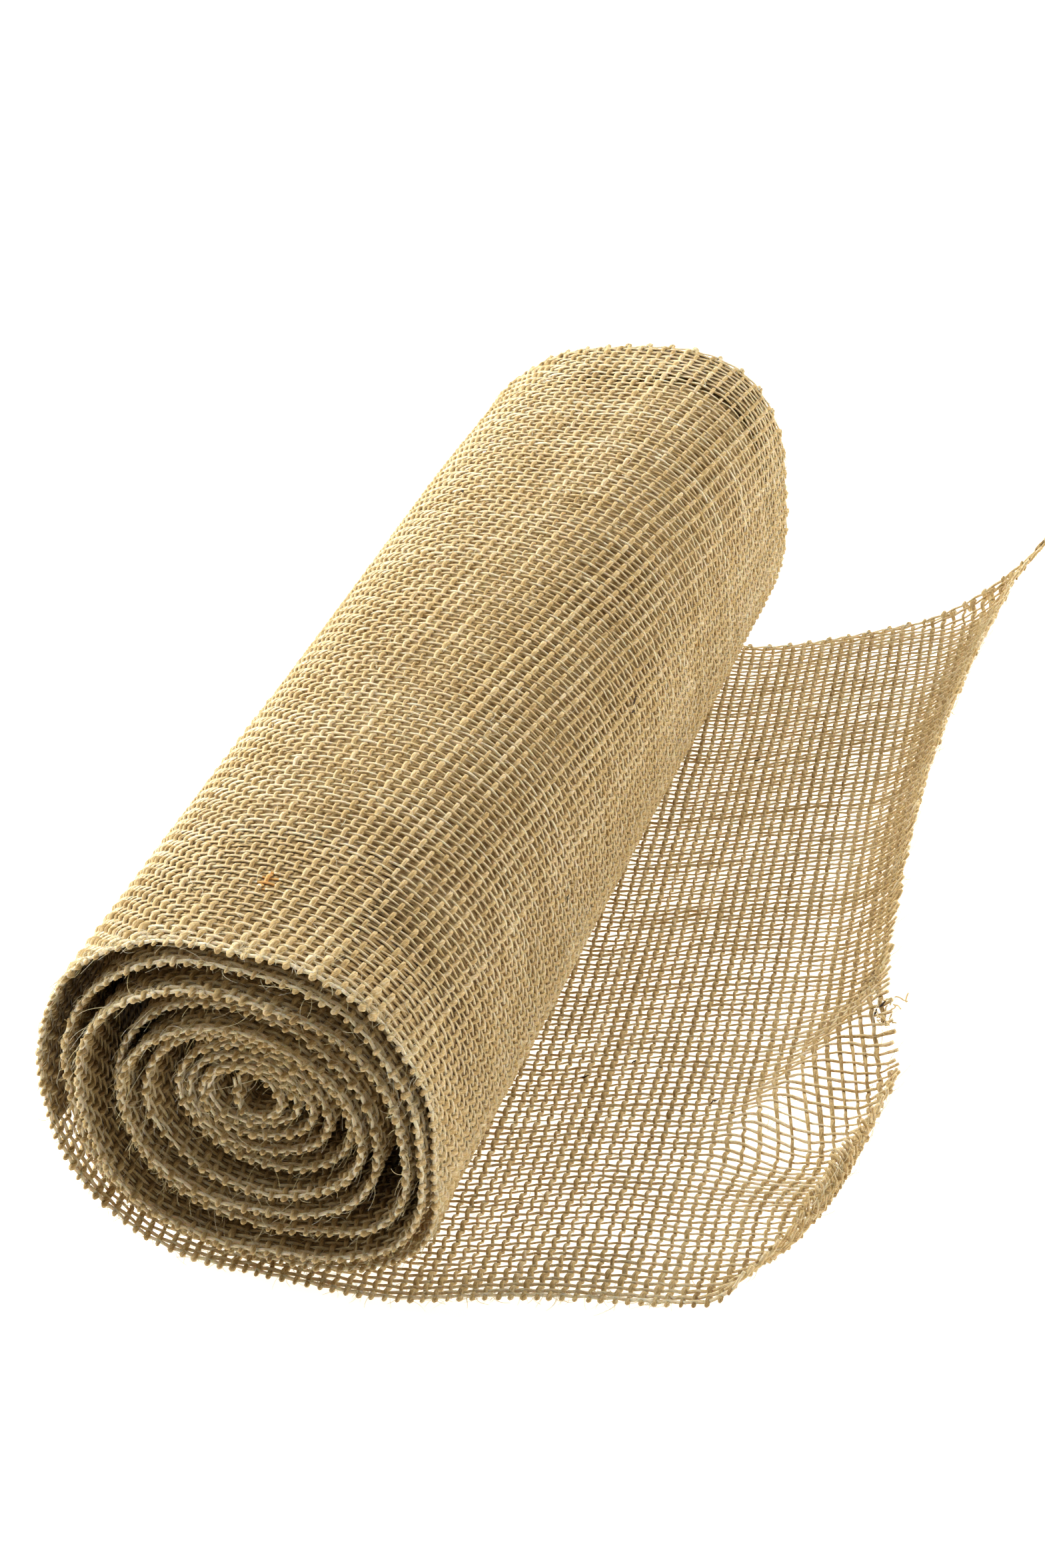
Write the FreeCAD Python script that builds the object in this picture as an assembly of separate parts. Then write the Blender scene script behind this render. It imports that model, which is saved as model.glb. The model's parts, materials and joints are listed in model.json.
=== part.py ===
import FreeCAD, Part
import os
from math import cos, degrees, radians, sin

from FreeCAD import Vector

# A coreless roll of woven jute ribbon with a loose tail, in millimetres.
# +Y runs along the roll, +Z is up, and the tail leaves the roll towards +X.
# The origin is on the resting surface, under the middle of the roll.
# Seen from the front (-Y), the ribbon winds inwards clockwise from the bottom of the roll.

RIBBON_WIDTH = 300.0
CLOTH = 1.2
SELVEDGE_WIDTH = 8.0

# Middle line of the ten turns, outermost first: where each crosses the bottom, left, top and right.
BOTTOM_Z = [0.6, 5.9, 11.0, 18.4, 23.0, 28.4, 35.1, 39.9, 44.8, 47.8]
LEFT_X = [-49.7, -42.8, -38.7, -30.2, -27.6, -22.0, -14.4, -11.5, -8.5, -6.2]
TOP_Z = [98.0, 93.5, 87.5, 81.9, 77.0, 73.3, 70.0, 67.4, 64.8, 62.4]
RIGHT_X = [47.8, 45.5, 42.0, 34.2, 31.2, 27.6, 22.0, 18.6, 14.8, 11.2]
TURNS = len(BOTTOM_Z)
CORE_END_X = 2.8
CORE_END_Z = 50.2

# Each quarter turn is a superellipse. The outermost turn sags into a rounded square. Further
# in, the quarters get rounder, and from the fifth turn on they are plain ellipses.
OUTER_EXPONENTS = {"bottom_left": 2.7, "top_left": 2.15, "top_right": 2.6, "bottom_right": 2.9}
ELLIPSE_EXPONENT = 2.0
SQUARE_TURNS = 4
STEPS_PER_QUARTER = 12

# The ribbon's first end is folded up across the eye of the roll.
FLAP_FOLD_RADIUS = 2.4
FLAP_TOP_Z = 60.3

# The tail lies flat, bends up over an arc, then rises straight to its cut end.
TAIL_FLAT_END_X = 26.0
TAIL_BEND_RADIUS = 70.0
TAIL_RISE_DEG = 16.0
RUN_START_X = 58.0
END_START_X = 86.0
FRINGE_LENGTH = 3.0
FRINGE_THICKNESS = 0.5

# Plan view of the cut end, from the front edge of the ribbon to the back edge, laid straight.
CUT_EDGE = [(111, -150), (121, -137), (129, -109), (134, -82), (131, -60), (121, -25), (115, 35), (112, 105)]
FAR_TIP = (130, 150)

# Fold lines of the two corners of the cut end, and how far the far one curls up.
NEAR_FOLD = [(98, -150), (129, -109)]
FAR_FOLD = [(112, 105), (98, 150)]
FAR_CURL_DEG = 38.0

# Pieces that move against each other stay this far from the line between them.
SEAM_GAP = 0.4

# Turns that start a group of their own, which slides or turns inside the group before.
GROUP_STARTS = (2, 4, 6, 9)


def exponent(turn, quarter):
    """Superellipse exponent of a quarter of a turn, counted from 0 at the outermost."""
    squareness = max(0.0, 1.0 - turn / SQUARE_TURNS)
    return ELLIPSE_EXPONENT + (OUTER_EXPONENTS[quarter] - ELLIPSE_EXPONENT) * squareness


def bottom_point(turn):
    """Where the middle line crosses the bottom of a turn, or reaches its inner end."""
    if turn == TURNS:
        return Vector(CORE_END_X, 0, CORE_END_Z)
    return Vector((LEFT_X[turn] + RIGHT_X[turn]) / 2, 0, BOTTOM_Z[turn])


def quarter(centre, half_x, half_z, start_deg, power):
    """Points of a quarter turn. Angles run clockwise from straight down, seen from the front."""
    points = []
    for step in range(STEPS_PER_QUARTER):
        angle = radians(start_deg + 90.0 * step / STEPS_PER_QUARTER)
        side, down = -sin(angle), -cos(angle)
        reach = (abs(side / half_x) ** power + abs(down / half_z) ** power) ** (-1 / power)
        points.append(centre + Vector(reach * side, 0, reach * down))
    return points


def winding():
    """Middle line of the whole roll, from the bottom of the outermost turn to the inner end."""
    points = []
    for turn in range(TURNS):
        left, right, top = LEFT_X[turn], RIGHT_X[turn], TOP_Z[turn]
        start, end = bottom_point(turn), bottom_point(turn + 1)
        z = (top + start.z) / 2
        first, last = Vector(start.x, 0, z), Vector(end.x, 0, z)
        points += quarter(first, start.x - left, z - start.z, 0, exponent(turn, "bottom_left"))
        points += quarter(first, start.x - left, top - z, 90, exponent(turn, "top_left"))
        points += quarter(first, right - start.x, top - z, 180, exponent(turn, "top_right"))
        points += quarter(last, right - end.x, z - end.z, 270, exponent(turn, "bottom_right"))
    return points + [bottom_point(TURNS)]


def beside(points, first, last, distance):
    """Points first to last of the winding, moved outwards by distance. Both its ends run level."""
    moved = []
    for i in range(first, last + 1):
        at_end = i in (0, len(points) - 1)
        along = Vector(-1, 0, 0) if at_end else (points[i + 1] - points[i - 1]).normalize()
        moved.append(points[i] + Vector(-along.z, 0, along.x) * distance)
    return moved


def spline(points):
    curve = Part.BSplineCurve()
    curve.interpolate(points)
    return curve.toShape()


def arc(centre, radius, start_deg, end_deg):
    """An arc in the XZ plane. Angles run from straight down towards +X."""
    angles = [radians(a) for a in (start_deg, (start_deg + end_deg) / 2, end_deg)]
    return Part.Arc(*[centre + Vector(sin(a), 0, -cos(a)) * radius for a in angles]).toShape()


def polyline(points):
    return [Part.makeLine(a, b) for a, b in zip(points, points[1:])]


def face(edges):
    return Part.Face(Part.Wire(Part.__sortEdges__(edges)))


def extrude(profile, low_y, high_y):
    """A solid from a section in the XZ plane, between two places along the roll."""
    moved = profile.copy()
    moved.translate(Vector(0, low_y, 0))
    return moved.extrude(Vector(0, high_y - low_y, 0))


def turn_section(line, turn):
    """Section of one turn, counted from 1 at the outermost."""
    first, last = (turn - 1) * 4 * STEPS_PER_QUARTER, turn * 4 * STEPS_PER_QUARTER
    outer, inner = beside(line, first, last, CLOTH / 2), beside(line, first, last, -CLOTH / 2)
    ends = [Part.makeLine(outer[0], inner[0]), Part.makeLine(outer[-1], inner[-1])]
    return face([spline(outer), spline(inner)] + ends)


def seam_slot(turn):
    """What is cut from a turn's outer end to part it from the turn before it."""
    start = bottom_point(turn - 1)
    corner = Vector(start.x - SEAM_GAP, -RIBBON_WIDTH, start.z - CLOTH)
    return Part.makeBox(2 * SEAM_GAP, 2 * RIBBON_WIDTH, 2 * CLOTH, corner)


def flap_section():
    """Section of the ribbon's first end, which turns up from the innermost turn into the eye."""
    centre = bottom_point(TURNS) + Vector(0, 0, FLAP_FOLD_RADIUS)
    edges, ends, tops = [], [], []
    for radius in (FLAP_FOLD_RADIUS + CLOTH / 2, FLAP_FOLD_RADIUS - CLOTH / 2):
        side = centre - Vector(radius, 0, 0)
        top = Vector(side.x, 0, FLAP_TOP_Z)
        edges += [arc(centre, radius, 0, -90), Part.makeLine(side, top)]
        ends.append(centre - Vector(0, 0, radius))
        tops.append(top)
    return face(edges + [Part.makeLine(*ends), Part.makeLine(*tops)])


def rise_point(x, side=0.0):
    """Where the tail's straight rise is at x, and side above its middle line, square to it."""
    rise = radians(TAIL_RISE_DEG)
    start_x = TAIL_FLAT_END_X + TAIL_BEND_RADIUS * sin(rise)
    start_z = CLOTH / 2 + TAIL_BEND_RADIUS * (1 - cos(rise))
    middle = Vector(x, 0, start_z + (x - start_x) * sin(rise) / cos(rise))
    return middle + Vector(-sin(rise), 0, cos(rise)) * side


def rise_section(start_x, end_x, thickness=CLOTH):
    """Section of a straight stretch of the rising tail."""
    half = thickness / 2
    corners = [rise_point(start_x, -half), rise_point(end_x, -half)]
    corners += [rise_point(end_x, half), rise_point(start_x, half)]
    return face(polyline(corners + corners[:1]))


def flat_section():
    """Section of the tail where it lies on the resting surface, under the roll."""
    start_x = bottom_point(0).x
    corners = [Vector(start_x, 0, 0), Vector(TAIL_FLAT_END_X, 0, 0)]
    corners += [Vector(TAIL_FLAT_END_X, 0, CLOTH), Vector(start_x, 0, CLOTH)]
    return face(polyline(corners + corners[:1]))


def bend_section():
    """Section of the tail's upward bend, with the start of the straight rise."""
    centre = Vector(TAIL_FLAT_END_X, 0, CLOTH / 2 + TAIL_BEND_RADIUS)
    gap_deg = degrees(SEAM_GAP / TAIL_BEND_RADIUS)
    edges, starts, ends = [], [], []
    for side in (-CLOTH / 2, CLOTH / 2):
        bend = arc(centre, TAIL_BEND_RADIUS - side, gap_deg, TAIL_RISE_DEG)
        end = rise_point(RUN_START_X - SEAM_GAP, side)
        edges += [bend, Part.makeLine(bend.Vertexes[1].Point, end)]
        starts.append(bend.Vertexes[0].Point)
        ends.append(end)
    return face(edges + [Part.makeLine(*starts), Part.makeLine(*ends)])


def end_prism(reach=0.0):
    """A tall prism over the plan of the tail's last panel, its cut edge moved out by reach."""
    start_x = END_START_X + SEAM_GAP
    edge = [Vector(x + reach, y, 0) for x, y in CUT_EDGE]
    tip = Vector(FAR_TIP[0] + reach, FAR_TIP[1], 0)
    back = [edge[-1], tip, Vector(start_x, tip.y, 0), Vector(start_x, edge[0].y, 0), edge[0]]
    return face([spline(edge)] + polyline(back)).extrude(Vector(0, 0, RIBBON_WIDTH))


def beyond(fold, gap=0.0):
    """A tall prism over everything outside a corner's fold line, as seen from the roll."""
    start, end = [Vector(x, y, 0) for x, y in fold]
    along = (end - start).normalize()
    out = Vector(along.y, -along.x, 0)
    low, high = start + out * gap - along * RIBBON_WIDTH, end + out * gap + along * RIBBON_WIDTH
    corners = [low, high, high + out * RIBBON_WIDTH, low + out * RIBBON_WIDTH]
    return face(polyline(corners + corners[:1])).extrude(Vector(0, 0, RIBBON_WIDTH))


def curl(shape, fold, angle_deg):
    """Turns a corner up about its fold line, which lies in the rising tail."""
    start, end = [rise_point(x) + Vector(0, y, 0) for x, y in fold]
    return shape.rotate(start, end - start, -angle_deg)


def strips():
    """The ribbon's cloth and its two woven edges: name ending, low y and high y."""
    edge = RIBBON_WIDTH / 2
    inner = edge - SELVEDGE_WIDTH
    return [("", -inner, inner), ("_front_selvedge", -edge, -inner), ("_back_selvedge", inner, edge)]


def save(name, shape):
    shape.Solids[0].exportStep(f"parts/{name}.step")
    print(f"{name}: {len(shape.Solids)} solid, {shape.Volume:.0f} mm3, valid {shape.isValid()}")


def build_roll():
    line = winding()
    for turn in range(1, TURNS + 1):
        section = turn_section(line, turn)
        for ending, low_y, high_y in strips():
            solid = extrude(section, low_y, high_y)
            if turn in GROUP_STARTS:
                solid = solid.cut(seam_slot(turn))
            save(f"turn_{turn:02d}{ending}", solid)
    for ending, low_y, high_y in strips():
        save(f"start_flap{ending}", extrude(flap_section(), low_y, high_y))


def build_tail():
    sections = {
        "tail_root": flat_section(),
        "tail_rise": bend_section(),
        "tail_run": rise_section(RUN_START_X + SEAM_GAP, END_START_X - SEAM_GAP),
    }
    for name, section in sections.items():
        for ending, low_y, high_y in strips():
            save(name + ending, extrude(section, low_y, high_y))


def build_end():
    sheet = rise_section(RUN_START_X, RIBBON_WIDTH)
    panel = end_prism().cut(beyond(NEAR_FOLD, -SEAM_GAP)).cut(beyond(FAR_FOLD, -SEAM_GAP))
    for ending, low_y, high_y in strips():
        save(f"tail_end{ending}", extrude(sheet, low_y, high_y).common(panel))
    whole = extrude(sheet, -RIBBON_WIDTH / 2, RIBBON_WIDTH / 2).common(end_prism())
    save("near_corner", whole.common(beyond(NEAR_FOLD, SEAM_GAP)))
    save("far_corner", curl(whole.common(beyond(FAR_FOLD, SEAM_GAP)), FAR_FOLD, FAR_CURL_DEG))
    fringe = end_prism(FRINGE_LENGTH).cut(end_prism()).cut(beyond(NEAR_FOLD)).cut(beyond(FAR_FOLD))
    thin = rise_section(RUN_START_X, RIBBON_WIDTH, FRINGE_THICKNESS)
    save("cut_end_fringe", extrude(thin, -RIBBON_WIDTH / 2, RIBBON_WIDTH / 2).common(fringe))


os.makedirs("parts", exist_ok=True)
build_roll()
build_tail()
build_end()
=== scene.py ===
import json
from math import atan2, cos, pi, radians, sin, tan

import bpy
import numpy as np
from mathutils import Matrix, Vector


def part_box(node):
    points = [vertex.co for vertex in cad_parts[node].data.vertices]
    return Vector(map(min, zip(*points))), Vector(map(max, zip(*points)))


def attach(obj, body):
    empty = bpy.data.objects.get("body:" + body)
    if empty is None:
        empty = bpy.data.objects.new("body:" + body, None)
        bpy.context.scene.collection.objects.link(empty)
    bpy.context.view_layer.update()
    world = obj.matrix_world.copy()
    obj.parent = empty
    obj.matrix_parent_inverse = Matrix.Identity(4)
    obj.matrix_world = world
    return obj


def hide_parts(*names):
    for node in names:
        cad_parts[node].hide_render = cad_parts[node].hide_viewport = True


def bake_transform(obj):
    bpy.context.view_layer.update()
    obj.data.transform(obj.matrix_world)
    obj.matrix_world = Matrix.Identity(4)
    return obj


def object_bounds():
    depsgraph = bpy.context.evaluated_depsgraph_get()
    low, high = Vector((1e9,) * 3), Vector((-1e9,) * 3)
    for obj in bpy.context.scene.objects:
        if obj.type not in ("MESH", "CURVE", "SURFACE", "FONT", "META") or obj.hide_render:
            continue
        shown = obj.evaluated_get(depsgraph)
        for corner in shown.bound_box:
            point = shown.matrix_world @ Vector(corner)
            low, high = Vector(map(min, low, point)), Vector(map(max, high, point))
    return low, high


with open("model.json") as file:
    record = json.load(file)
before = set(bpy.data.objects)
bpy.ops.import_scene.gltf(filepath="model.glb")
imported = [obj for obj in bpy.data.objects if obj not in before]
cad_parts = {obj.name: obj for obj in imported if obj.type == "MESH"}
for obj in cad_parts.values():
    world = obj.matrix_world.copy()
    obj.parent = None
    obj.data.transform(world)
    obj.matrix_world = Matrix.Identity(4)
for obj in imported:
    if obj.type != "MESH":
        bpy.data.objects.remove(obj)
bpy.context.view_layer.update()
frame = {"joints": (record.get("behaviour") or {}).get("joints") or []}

# A coreless roll of woven jute ribbon with a loose tail. Its outer yarns are tubes, each on its own.
#
# The cloth is worked out in millimetres, in two coordinates on the ribbon itself:
#   along   from the bottom of the outermost turn towards the cut end, so below 0 it is in the roll
#   across  from the middle of the ribbon towards its back edge
# The surface functions turn these into places in the frame, and the meshes are made in metres.
#
# The weave has two more coordinates, a and b: along and across before its skew and its drift. A weft
# yarn (a pick) stays near one a, and a warp yarn (an end) stays near one b.

MM = 0.001


# ------ sizes read from the frame

TURNS = 10


def box_mm(node):
    low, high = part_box(node)
    return np.array(low) / MM, np.array(high) / MM


root_low, root_high = box_mm("tail_root")
HALF_CLOTH = (root_high[2] - root_low[2]) / 2
EDGE = box_mm("turn_01_back_selvedge")[1][1]
turn_boxes = [box_mm(f"turn_{turn:02d}") for turn in range(1, TURNS + 1)]
LEFT, BOTTOM = [[low[axis] + HALF_CLOTH for low, _ in turn_boxes] for axis in (0, 2)]
RIGHT, TOP = [[high[axis] - HALF_CLOTH for _, high in turn_boxes] for axis in (0, 2)]
flap_low, flap_high = box_mm("start_flap")
FLAP_RADIUS = flap_high[0] - flap_low[0] - HALF_CLOTH
CORE_END = (flap_high[0], flap_low[2] + HALF_CLOTH)
joints = {joint["name"]: joint for joint in frame["joints"]}
FOOT, LIFT, CURL = [
    np.array(joints[name]["pos_m"]) / MM for name in ("tail_root_bend", "tail_lift", "tail_curl")
]


def through(x, xs, ys):
    """A smooth curve through a few points, level beyond the first and last."""
    xs, ys = np.array(xs, float), np.array(ys, float)
    slopes = np.gradient(ys, xs)
    x = np.clip(x, xs[0], xs[-1])
    i = np.clip(np.searchsorted(xs, x) - 1, 0, len(xs) - 2)
    step = xs[i + 1] - xs[i]
    t = (x - xs[i]) / step
    start = (1 + 2 * t) * ys[i] + t * step * slopes[i]
    end = (3 - 2 * t) * ys[i + 1] + (t - 1) * step * slopes[i + 1]
    return (1 - t) ** 2 * start + t**2 * end


def smoothstep(x, low, high):
    t = np.clip((x - low) / (high - low), 0, 1)
    return t * t * (3 - 2 * t)


def ripples(seed, size, waves=8):
    """A smooth random field over two coordinates, mostly from -1 to 1, with bumps of about that size."""
    rng = np.random.default_rng(seed)
    heading = rng.uniform(0, 2 * pi, waves)
    pace = 2 * pi / (size * rng.uniform(0.7, 1.8, waves))
    phase = rng.uniform(0, 2 * pi, waves)

    def field(x, y):
        total = 0
        for h, p, start in zip(heading, pace, phase):
            total = total + np.sin((x * cos(h) + y * sin(h)) * p + start)
        return total / waves**0.5

    return field


# ------ the roll's shape

# Each quarter of a turn is part of a superellipse: lower left, upper left, upper right, lower right.
# The outermost turn is the squarest. After SQUARE_TURNS turns the quarters are plain ellipses.
OUTER_EXPONENTS = (2.7, 2.15, 2.6, 2.9)
ELLIPSE_EXPONENT = 2.0
SQUARE_TURNS = 4
STEPS_PER_QUARTER = 90
FLAP_TOP = flap_high[2]
BEYOND_START = 60

# How far the front edge stands out of the roll after so many turns. The pairs slipped apart.
SLIP_TURNS = [0, 1.0, 1.4, 1.9, 2.4, 2.9, 3.3, 3.9, 4.4, 4.9, 5.5, 7, 8, 9, 10, 10.3]
SLIP = [0, 0.3, -0.6, -2.6, -3.4, -2.2, 0.2, -2.4, -3.2, -2.0, 0.3, 0.8, 0.2, 1.0, 0.4, 0.6]


def winding_line():
    """Points of the roll's middle line as x, z, from the bottom of the outermost turn inwards."""
    points = []
    for turn in range(TURNS):
        start = ((LEFT[turn] + RIGHT[turn]) / 2, BOTTOM[turn])
        end = CORE_END
        if turn + 1 < TURNS:
            end = ((LEFT[turn + 1] + RIGHT[turn + 1]) / 2, BOTTOM[turn + 1])
        squareness = max(0.0, 1 - turn / SQUARE_TURNS)
        z = (TOP[turn] + start[1]) / 2
        sizes = [
            (start[0], start[0] - LEFT[turn], z - start[1]),
            (start[0], start[0] - LEFT[turn], TOP[turn] - z),
            (start[0], RIGHT[turn] - start[0], TOP[turn] - z),
            (end[0], RIGHT[turn] - end[0], z - end[1]),
        ]
        for quarter, (x, half_x, half_z) in enumerate(sizes):
            power = ELLIPSE_EXPONENT + (OUTER_EXPONENTS[quarter] - ELLIPSE_EXPONENT) * squareness
            angle = (quarter + np.arange(STEPS_PER_QUARTER) / STEPS_PER_QUARTER) * pi / 2
            side, down = -np.sin(angle), -np.cos(angle)
            reach = (np.abs(side / half_x) ** power + np.abs(down / half_z) ** power) ** (-1 / power)
            points += list(zip(x + reach * side, z + reach * down))
    angle = np.linspace(0, pi / 2, STEPS_PER_QUARTER // 4)
    x, z = CORE_END
    points += list(zip(x - FLAP_RADIUS * np.sin(angle), z + FLAP_RADIUS * (1 - np.cos(angle))))
    points.append((x - FLAP_RADIUS, FLAP_TOP))
    points.append((x - FLAP_RADIUS, FLAP_TOP + BEYOND_START))
    return np.array(points)


line = winding_line()
line_depth = np.concatenate([[0], np.cumsum(np.linalg.norm(np.diff(line, axis=0), axis=1))])
TURN_DEPTH = line_depth[:: 4 * STEPS_PER_QUARTER][: TURNS + 1]
RIBBON_START = -line_depth[-2]

# Towards its back end the roll is squarer on its upper right: the part of each turn that stands out,
# how far it does after so many turns, and where across the ribbon that starts.
CORNER_START = 0.46
CORNER_SHARE = 0.3
CORNER_TURNS = [0.6, 1.6, 2.6, 8]
CORNER_REACH = [6.2, 7.6, 5.6, 0]
CORNER_FROM = -10

# The cloth is a little wavy, and its edges more so.
ROLL_WAVE = 0.35
EDGE_WAVE = 0.3
EDGE_WANDER = 0.35
EDGE_BAND = 30
WAVE_START = 30
roll_wave = ripples(11, 70)
edge_wave = ripples(12, 26)


def turn_at(along):
    """Turns wound before that place on the ribbon, with its fraction."""
    return np.interp(-along, TURN_DEPTH, np.arange(TURNS + 1))


def back_corner(turn, across):
    """How far the upper right of the roll stands out towards its back end, where the roll is squarer."""
    quarter = np.clip((turn % 1 - CORNER_START) / CORNER_SHARE, 0, 1)
    size = through(turn, CORNER_TURNS, CORNER_REACH)
    return size * np.sin(pi * quarter) ** 3 * smoothstep(across, CORNER_FROM, EDGE)


def line_at(depth):
    """The roll's middle line as x, z, at a distance along it."""
    return np.interp(depth, line_depth, line[:, 0]), np.interp(depth, line_depth, line[:, 1])


def roll_surface(along, across):
    """The place of a point of the cloth inside the roll."""
    depth = -along
    x, z = line_at(depth)
    ahead, behind = line_at(depth + 1), line_at(depth - 1)
    out = np.stack([behind[1] - ahead[1], 0 * depth, ahead[0] - behind[0]], -1)
    out = out / np.linalg.norm(out, axis=-1, keepdims=True)
    turn = turn_at(along)
    near_edge = smoothstep(np.abs(across), EDGE - EDGE_BAND, EDGE)
    wave = ROLL_WAVE * roll_wave(along, across) + EDGE_WAVE * near_edge * edge_wave(along, across)
    y = across + through(turn, SLIP_TURNS, SLIP) + EDGE_WANDER * near_edge * edge_wave(across, along)
    lifted = out * (wave * smoothstep(depth, 0, WAVE_START) + back_corner(turn, across))[..., None]
    return np.stack([x, y, z], -1) + lifted


# ------ the tail's shape

SLOPE = (CURL[2] - LIFT[2]) / (CURL[0] - LIFT[0])
RISE = atan2(SLOPE, 1)
BEND_RADIUS = (LIFT[0] - (LIFT[2] - FOOT[2]) / SLOPE - FOOT[0]) / tan(RISE / 2)

# Height of the front and back edges above the plain rise, at places from the roll to the cut end.
TWIST_X = [24, 38, 53, 70, 86, 102, 118, 135]
FRONT_LIFT = [0, 0.9, 1.7, 1.7, 0.6, -0.9, -1.2, -0.8]
BACK_LIFT = [0, -1.0, -1.6, -0.6, 0.8, 2.0, 3.2, 4.0]

# The cut end, from the front edge to the back: where it ends in plan, and how much of it curls up.
CUT_ACROSS = [-150, -139, -127, -112, -96, -77, -65, -42, -5, 54, 110, 133, 144, 150]
CUT_X = [117, 125.5, 130, 132.9, 135.5, 135.4, 131.5, 124.5, 119.7, 115.5, 115.8, 117.5, 119.5, 123.5]
CURL_LENGTH = [9, 13, 14.5, 14.5, 12.5, 8, 6, 12, 20, 23, 22, 22, 25, 30]
CURL_RADIUS = [7, 7, 7, 7, 7.5, 9, 12, 18, 20, 20, 20, 20, 20, 20]

# A crease in the tail near its front corner, from one place in plan to the other: the cloth climbs
# towards it from the roll's side and falls gently past it. It fades out at both ends.
CREASE = [(109, -80), (122, -49)]
CREASE_REACH = [-17, -8, 0, 9, 18, 28]
CREASE_LIFT = [0, 1.4, 4.2, 1.6, -0.8, 0]
CREASE_FADES = [(-16, 6), (38, 68)]

# The tail's middle line is worked out this far, in so many steps. The cut end's reach at one place
# across the ribbon gives the number of picks.
TAIL_REACH = 220
TAIL_STEPS = 900
LAST_PICK_ACROSS = -80


def plain_rise(x):
    """Height of the tail's middle line: flat, then an arc, then a straight rise."""
    bend_end = FOOT[0] + BEND_RADIUS * sin(RISE)
    inside = np.clip(x - FOOT[0], 0, bend_end - FOOT[0])
    arc = FOOT[2] + BEND_RADIUS - np.sqrt(BEND_RADIUS**2 - inside**2)
    return arc + SLOPE * np.maximum(0, x - bend_end)


tail_x = np.linspace(line[0][0], TAIL_REACH, TAIL_STEPS)
tail_run = np.concatenate([[0], np.cumsum(np.hypot(np.diff(tail_x), np.diff(plain_rise(tail_x))))])


def along_at(x):
    """How far along the ribbon the tail passes that x, before the cut end curls."""
    return float(np.interp(x, tail_x, tail_run))


def cut_edge_x(across):
    """Where the cut edge lies, before it curls."""
    length, radius = through(across, CUT_ACROSS, CURL_LENGTH), through(across, CUT_ACROSS, CURL_RADIUS)
    return through(across, CUT_ACROSS, CUT_X) + length - radius * np.sin(length / radius)


def cut_along(across):
    """How far along the ribbon the cut edge lies."""
    return np.interp(cut_edge_x(across), tail_x, tail_run)


def beside(ends, x, y):
    """How far a place in plan is to the right of a line, and how far short of the line's end."""
    (x0, y0), (x1, y1) = ends
    length = ((x1 - x0) ** 2 + (y1 - y0) ** 2) ** 0.5
    right = ((x - x0) * (y1 - y0) - (y - y0) * (x1 - x0)) / length
    return right, length - ((x - x0) * (x1 - x0) + (y - y0) * (y1 - y0)) / length


def crease(x, y):
    """How much the crease lifts a place in plan."""
    past, down = beside(CREASE, x, y)
    fading = smoothstep(down, *CREASE_FADES[0]) * (1 - smoothstep(down, *CREASE_FADES[1]))
    return through(past, CREASE_REACH, CREASE_LIFT) * fading


def tail_height(x, y):
    """Height of the tail over a place in plan, before the cut end curls."""
    back = (y + EDGE) / (2 * EDGE)
    twist = through(x, TWIST_X, FRONT_LIFT) * (1 - back) + through(x, TWIST_X, BACK_LIFT) * back
    return plain_rise(x) + twist + crease(x, y)


def tail_surface(along, across):
    """The place of a point of the cloth in the tail, whose cut end curls up round an arc."""
    x, y = np.interp(along, tail_run, tail_x), across
    heading = (cut_edge_x(across + 2) - cut_edge_x(across - 2)) / 4
    reach = np.sqrt(1 + heading**2)
    inside = (cut_edge_x(across) - x) / reach
    curled = np.maximum(0, through(across, CUT_ACROSS, CURL_LENGTH) - inside)
    radius = through(across, CUT_ACROSS, CURL_RADIUS)
    pull = radius * np.sin(curled / radius) - curled
    x, y = x + pull / reach, y - pull * heading / reach
    z = tail_height(x, y) + radius * (1 - np.cos(curled / radius))
    return np.stack([x, y, z], -1)


def surface(along, across):
    """The place in the frame, in millimetres, of a point of the cloth's middle surface."""
    roll = roll_surface(np.minimum(along, 0), across)
    tail = tail_surface(np.maximum(along, 0), across)
    return np.where((along < 0)[..., None], roll, tail)


def facing(along, across):
    """The direction square to the cloth, out of the roll and so down from the tail."""
    step = 0.6
    on = surface(along + step, across) - surface(along - step, across)
    over = surface(along, across + step) - surface(along, across - step)
    square = np.cross(over, on)
    return square / np.linalg.norm(square, axis=-1, keepdims=True)


# ------ the weave

# The spacing of the weft yarns (picks) and of the warp yarns (ends), and the yarns' own sizes.
PICK = 3.2
END_PITCH = 2.1
EDGE_ENDS = 2
EDGE_PITCH = 1.4
FIRST_END = 0.7
SKEW = 0.14
WEFT_RADIUS = 0.49
WARP_RADIUS = 0.39
WEFT_WAVE = 0.62
WARP_WAVE = 0.18
YARN_TWIST = 0.75

# The nubs at the front edge and the loops at the back edge.
NUB_LENGTH = 0.9
NUB_TAPER = 0.45
LOOP_RADIUS = 0.35
LOOP_REACH = 0.9
LOOP_JOIN = (2.6, 0.4)

# How unlike each other the yarns are: in place, in size, and in thickness along each of them.
PLACE_SPREAD = 0.1
PICK_SPREAD = 0.12
END_SPREAD = 0.1
SLUB = 0.14
PICK_WANDER = 0.13
END_WANDER = 0.2
DRIFT_ALONG = 2.0
DRIFT_ACROSS = 0.45

# Each yarn reads its own row of the random fields: how far apart the rows of neighbours are, for their
# wander, their short slubs and their long ones, and how far their fibres are out of step.
WEFT_ROWS = (37.0, 53.0, 71.0)
WARP_ROWS = (41.0, 59.0, 67.0)
WEFT_LAY = 1.7
WARP_LAY = 1.3

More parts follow.
